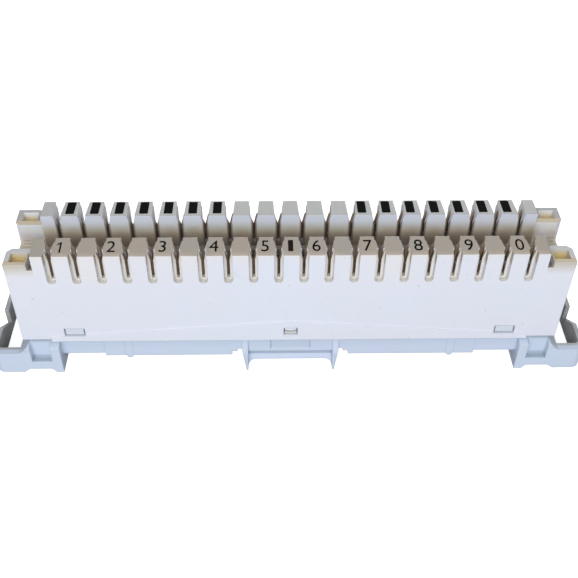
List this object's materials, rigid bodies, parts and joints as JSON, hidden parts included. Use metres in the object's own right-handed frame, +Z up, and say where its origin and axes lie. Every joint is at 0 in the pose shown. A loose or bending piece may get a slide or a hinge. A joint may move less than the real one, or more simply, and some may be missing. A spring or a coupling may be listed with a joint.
{
  "type": "punch down wiring block",
  "caption": "White punch-down wiring block: facing rows of numbered comb teeth with slanted contacts, a test channel between them, a clip-on base with feet and end wire guides.",
  "frame": {"origin": "middle of the plane that the feet stand on", "axes": "+X along the combs, to the right seen from the front; -Y out of the front face; +Z up, the way the contacts open"},
  "size_m": [0.1266, 0.0206, 0.032],
  "materials": {
    "housing_plastic": "satin",
    "base_plastic": "satin",
    "contact_metal": "dull plated"
  },
  "bodies": {
    "root": {"terminal_block": "housing_plastic", "base": "base_plastic", "contact_front_01": "contact_metal", "contact_front_02": "contact_metal", "contact_front_03": "contact_metal", "contact_front_04": "contact_metal", "contact_front_05": "contact_metal", "contact_front_06": "contact_metal", "contact_front_07": "contact_metal", "contact_front_08": "contact_metal", "contact_front_09": "contact_metal", "contact_front_10": "contact_metal", "contact_front_11": "contact_metal", "contact_front_12": "contact_metal", "contact_front_13": "contact_metal", "contact_front_14": "contact_metal", "contact_front_15": "contact_metal", "contact_front_16": "contact_metal", "contact_front_17": "contact_metal", "contact_front_18": "contact_metal", "contact_front_19": "contact_metal", "contact_front_20": "contact_metal", "contact_rear_01": "contact_metal", "contact_rear_02": "contact_metal", "contact_rear_03": "contact_metal", "contact_rear_04": "contact_metal", "contact_rear_05": "contact_metal", "contact_rear_06": "contact_metal", "contact_rear_07": "contact_metal", "contact_rear_08": "contact_metal", "contact_rear_09": "contact_metal", "contact_rear_10": "contact_metal", "contact_rear_11": "contact_metal", "contact_rear_12": "contact_metal", "contact_rear_13": "contact_metal", "contact_rear_14": "contact_metal", "contact_rear_15": "contact_metal", "contact_rear_16": "contact_metal", "contact_rear_17": "contact_metal", "contact_rear_18": "contact_metal", "contact_rear_19": "contact_metal", "contact_rear_20": "contact_metal"}
  },
  "joints": []
}
